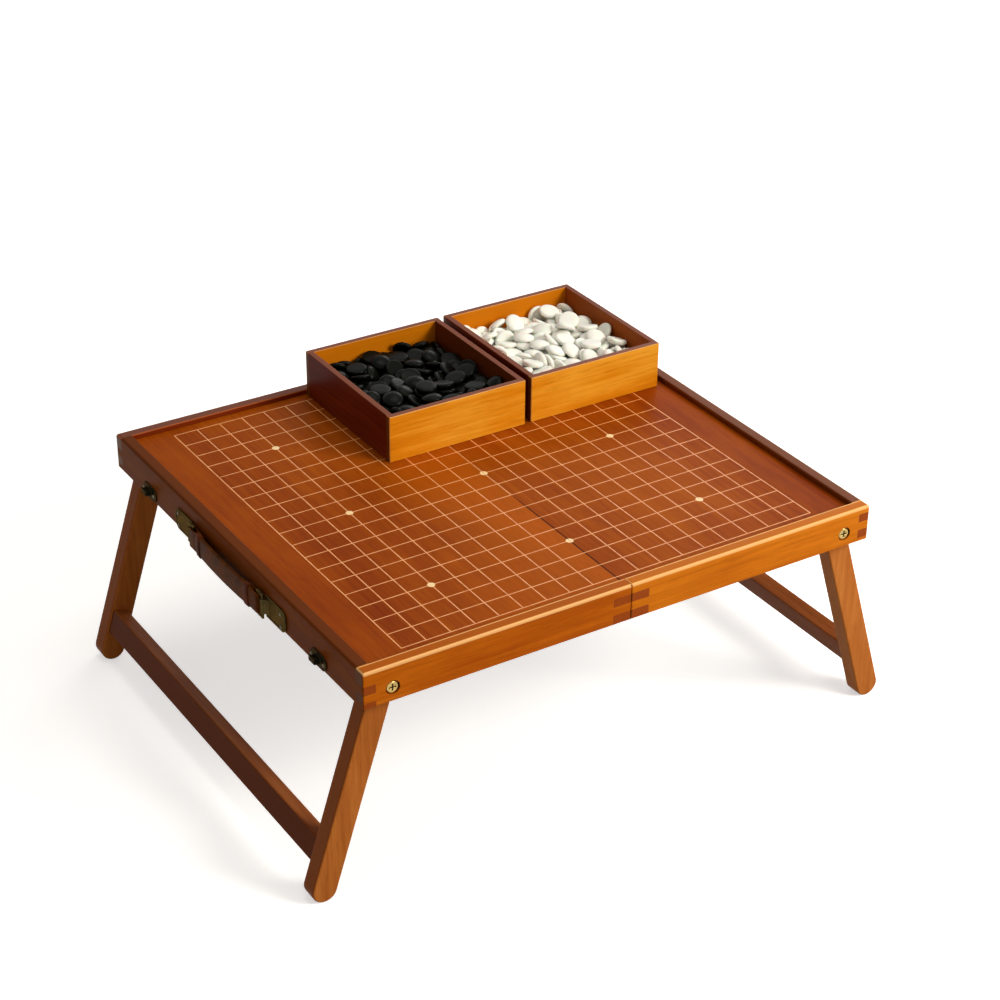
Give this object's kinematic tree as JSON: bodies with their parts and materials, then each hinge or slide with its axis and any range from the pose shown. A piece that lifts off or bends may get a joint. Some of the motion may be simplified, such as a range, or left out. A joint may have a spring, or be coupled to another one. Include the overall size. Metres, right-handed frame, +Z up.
{
  "type": "folding go table",
  "caption": "Folding go table: two framed half boards hinged under the seam, folding leg frames, a strap handle, latches and two open stone drawers standing on the board.",
  "frame": {"origin": "on the floor below the middle of the seam between the two half boards, table open and standing", "axes": "+X to the right end (the end with the latches), +Y to the back (where the drawers stand), +Z up"},
  "size_m": [0.571, 0.444, 0.2505],
  "materials": {
    "panel_wood": "satin varnish",
    "rail_wood": "satin varnish",
    "leg_wood": "satin varnish",
    "drawer_wood": "gloss varnish",
    "drawer_floor_wood": "thin sheet, satin",
    "bronze": "dark antique bronze",
    "brass_bolt": "brushed",
    "screw_brass": "antique",
    "pin_steel": "plain",
    "washer_fibre": "vulcanised fibre",
    "strap_leather": "smooth",
    "black_stone": "polished opaque glass",
    "white_stone": "polished opaque glass"
  },
  "bodies": {
    "right_half": {"right_panel": "panel_wood", "right_front_rail": "rail_wood", "right_back_rail": "rail_wood", "right_end_rail": "rail_wood", "right_seam_rail": "rail_wood", "right_pivot_bolts": "brass_bolt", "right_pivot_nuts": "brass_bolt", "right_pivot_washers": "washer_fibre", "right_hinge_leaves": "bronze", "right_hinge_screws": "screw_brass", "latch_plates": "bronze", "latch_screws": "screw_brass", "latch_pins": "screw_brass"},
    "hinge_pins": {"hinge_pins": "pin_steel"},
    "left_half": {"left_panel": "panel_wood", "left_front_rail": "rail_wood", "left_back_rail": "rail_wood", "left_end_rail": "rail_wood", "left_seam_rail": "rail_wood", "left_pivot_bolts": "brass_bolt", "left_pivot_nuts": "brass_bolt", "left_pivot_washers": "washer_fibre", "left_hinge_leaves": "bronze", "left_hinge_screws": "screw_brass", "catch_plates": "bronze", "catch_screws": "screw_brass", "handle_plates": "bronze", "handle_screws": "screw_brass"},
    "right_leg_frame": {"right_front_leg": "leg_wood", "right_back_leg": "leg_wood", "right_crossbar": "leg_wood"},
    "left_leg_frame": {"left_front_leg": "leg_wood", "left_back_leg": "leg_wood", "left_crossbar": "leg_wood"},
    "front_latch_tongue": {"front_latch_tongue": "bronze"},
    "back_latch_tongue": {"back_latch_tongue": "bronze"},
    "handle_strap": {"handle_strap": "strap_leather"},
    "front_handle_ring": {"front_handle_ring": "bronze"},
    "back_handle_ring": {"back_handle_ring": "bronze"},
    "black_drawer": {"black_drawer_front": "drawer_wood", "black_drawer_back": "drawer_wood", "black_drawer_left_side": "drawer_wood", "black_drawer_right_side": "drawer_wood", "black_drawer_floor": "drawer_floor_wood", "black_stones": "black_stone"},
    "white_drawer": {"white_drawer_front": "drawer_wood", "white_drawer_back": "drawer_wood", "white_drawer_left_side": "drawer_wood", "white_drawer_right_side": "drawer_wood", "white_drawer_floor": "drawer_floor_wood", "white_stones": "white_stone"}
  },
  "joints": [
    {"name": "fold_right", "type": "hinge", "parent": "right_half", "child": "hinge_pins", "pos_m": [0, 0, 0.1782], "axis": [0, -1, 0], "range_deg": [0, 110]},
    {"name": "fold_left", "type": "hinge", "parent": "hinge_pins", "child": "left_half", "pos_m": [0, 0, 0.1782], "axis": [0, -1, 0], "range_deg": [0, 70]},
    {"name": "right_leg_fold", "type": "hinge", "parent": "right_half", "child": "right_leg_frame", "pos_m": [0.2183, 0, 0.1904], "axis": [0, 1, 0], "range_deg": [0, 107.4]},
    {"name": "left_leg_fold", "type": "hinge", "parent": "left_half", "child": "left_leg_frame", "pos_m": [-0.2183, 0, 0.1904], "axis": [0, -1, 0], "range_deg": [0, 107.4]},
    {"name": "front_latch_swing", "type": "hinge", "parent": "right_half", "child": "front_latch_tongue", "pos_m": [0.2469, -0.153, 0.1828], "axis": [0, -1, 0], "range_deg": [0, 170]},
    {"name": "back_latch_swing", "type": "hinge", "parent": "right_half", "child": "back_latch_tongue", "pos_m": [0.2469, 0.153, 0.1828], "axis": [0, -1, 0], "range_deg": [0, 170]},
    {"name": "handle_pull", "type": "slide", "parent": "left_half", "child": "handle_strap", "axis": [-1, 0, 0], "range_m": [0, 0.004]},
    {"name": "front_ring_swing", "type": "hinge", "parent": "left_half", "child": "front_handle_ring", "pos_m": [-0.2479, -0.066, 0.1883], "axis": [0, 0, 1], "range_deg": [0, 30]},
    {"name": "back_ring_swing", "type": "hinge", "parent": "left_half", "child": "back_handle_ring", "pos_m": [-0.2479, 0.066, 0.1883], "axis": [0, 0, -1], "range_deg": [0, 30]},
    {"name": "black_drawer_lift", "type": "slide", "parent": "right_half", "child": "black_drawer", "axis": [0, 0, 1], "range_m": [0, 0.08]},
    {"name": "white_drawer_lift", "type": "slide", "parent": "right_half", "child": "white_drawer", "axis": [0, 0, 1], "range_m": [0, 0.08]}
  ],
  "couplings": [
    {"joint": "front_ring_swing", "follows": "handle_pull", "rad_per_m": 130.8},
    {"joint": "back_ring_swing", "follows": "handle_pull", "rad_per_m": 130.8}
  ]
}
